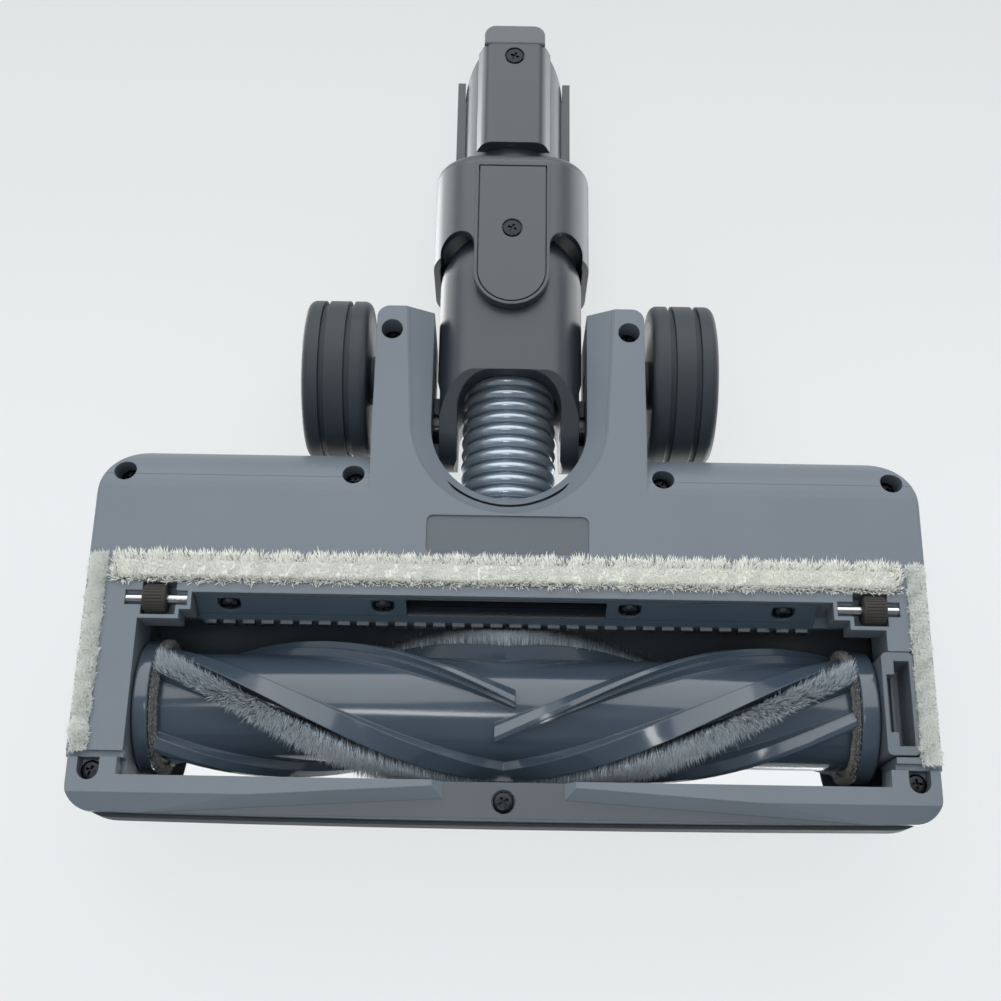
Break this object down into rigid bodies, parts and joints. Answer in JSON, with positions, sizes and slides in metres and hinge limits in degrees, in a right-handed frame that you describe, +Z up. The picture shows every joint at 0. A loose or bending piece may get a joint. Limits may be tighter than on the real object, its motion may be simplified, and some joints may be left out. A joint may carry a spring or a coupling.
{
  "type": "vacuum floor brush head",
  "caption": "Powered floor brush head of a stick vacuum cleaner with a chevron brush roller, wheels and a neck that tilts and swings on a hose.",
  "frame": {"origin": "middle of the bounding box, on the floor the head stands on", "axes": "+Z up from the floor, +Y from the brush roller towards the neck, +X towards the drive end"},
  "size_m": [0.25, 0.2734, 0.054],
  "materials": {
    "housing_plastic": "satin",
    "cover_plastic": "satin",
    "bar_plastic": "satin",
    "clear_window": "clear and glossy",
    "bumper_rubber": "matt",
    "rear_plush": "soft pile",
    "side_plush": "short pile",
    "small_roller_plastic": "knurled",
    "axle_steel": "polished",
    "plate_plastic": "glossy",
    "duct_plastic": "satin",
    "hose_plastic": "glossy",
    "motor_steel": "satin",
    "pulley_plastic": "satin",
    "belt_rubber": "matt",
    "roller_plastic": "glossy",
    "bristle": "stiff bristles",
    "pile": "felted pile",
    "release_plastic": "satin",
    "wheel_rubber": "matt",
    "wheel_plastic": "satin",
    "yoke_plastic": "satin",
    "sleeve_plastic": "satin",
    "tube_plastic": "semi-gloss",
    "plug_plastic": "satin",
    "contact_brass": "plated",
    "screw_steel": "blackened"
  },
  "bodies": {
    "head": {"base_housing": "housing_plastic", "drive_arm_cap": "housing_plastic", "latch_arm_cap": "housing_plastic", "top_cover": "cover_plastic", "front_window": "clear_window", "front_bar": "bar_plastic", "front_bumper": "bumper_rubber", "rear_plush": "rear_plush", "drive_side_plush": "side_plush", "latch_side_plush": "side_plush", "drive_floor_axle": "axle_steel", "latch_floor_axle": "axle_steel", "suction_plate": "plate_plastic", "suction_duct": "duct_plastic", "flexible_hose": "hose_plastic", "drive_motor": "motor_steel", "drive_belt": "belt_rubber", "drive_bearing": "axle_steel", "drive_wheel_axle": "axle_steel", "latch_wheel_axle": "axle_steel", "pivot_pins": "axle_steel", "base_screws": "screw_steel", "arm_screws": "screw_steel", "front_screws": "screw_steel", "plate_screws": "screw_steel"},
    "brush_roller": {"brush_tube": "roller_plastic", "bristle_strip_1": "bristle", "bristle_strip_2": "bristle", "drive_pile_ring": "pile", "latch_pile_ring": "pile", "drive_end_cap": "roller_plastic", "latch_end_cap": "roller_plastic", "roller_axle": "axle_steel", "driven_pulley": "pulley_plastic", "latch_bush": "pulley_plastic"},
    "motor_rotor": {"motor_shaft": "axle_steel", "motor_pulley": "pulley_plastic"},
    "release": {"release_block": "release_plastic"},
    "drive_small_roller": {"drive_floor_roller": "small_roller_plastic"},
    "latch_small_roller": {"latch_floor_roller": "small_roller_plastic"},
    "drive_wheel": {"drive_wheel_tyre": "wheel_rubber", "drive_wheel_hub": "wheel_plastic"},
    "latch_wheel": {"latch_wheel_tyre": "wheel_rubber", "latch_wheel_hub": "wheel_plastic"},
    "neck": {"neck_yoke": "yoke_plastic", "hose_collar": "duct_plastic"},
    "upper_neck": {"swivel_sleeve": "sleeve_plastic", "pivot_cover": "sleeve_plastic", "connector_tube": "tube_plastic", "wire_cover": "tube_plastic", "contact_plug": "plug_plastic", "plug_contacts": "contact_brass", "neck_screws": "screw_steel"}
  },
  "joints": [
    {"name": "roller_spin", "type": "hinge", "parent": "head", "child": "brush_roller", "pos_m": [0, -0.1007, 0.025], "axis": [1, 0, 0], "continuous": true},
    {"name": "motor_spin", "type": "hinge", "parent": "head", "child": "motor_rotor", "pos_m": [0, -0.0457, 0.021], "axis": [1, 0, 0], "continuous": true},
    {"name": "drive_wheel_spin", "type": "hinge", "parent": "head", "child": "drive_wheel", "pos_m": [0, 0.0093, 0.026], "axis": [1, 0, 0], "continuous": true},
    {"name": "latch_wheel_spin", "type": "hinge", "parent": "head", "child": "latch_wheel", "pos_m": [0, 0.0093, 0.026], "axis": [1, 0, 0], "continuous": true},
    {"name": "drive_small_roller_spin", "type": "hinge", "parent": "head", "child": "drive_small_roller", "pos_m": [0, -0.0727, 0.0048], "axis": [1, 0, 0], "continuous": true},
    {"name": "latch_small_roller_spin", "type": "hinge", "parent": "head", "child": "latch_small_roller", "pos_m": [0, -0.0727, 0.0048], "axis": [1, 0, 0], "continuous": true},
    {"name": "release_slide", "type": "slide", "parent": "head", "child": "release", "axis": [0, 0, -1], "range_m": [0, 0.02]},
    {"name": "neck_tilt", "type": "hinge", "parent": "head", "child": "neck", "pos_m": [0, -0.0077, 0.026], "axis": [1, 0, 0], "range_deg": [0, 90], "deforming": ["flexible_hose"]},
    {"name": "neck_swing", "type": "hinge", "parent": "neck", "child": "upper_neck", "pos_m": [0, 0.0373, 0.026], "axis": [0, 0, 1], "range_deg": [-30, 30]}
  ],
  "couplings": [
    {"joint": "motor_spin", "follows": "roller_spin", "ratio": 2.3675}
  ]
}
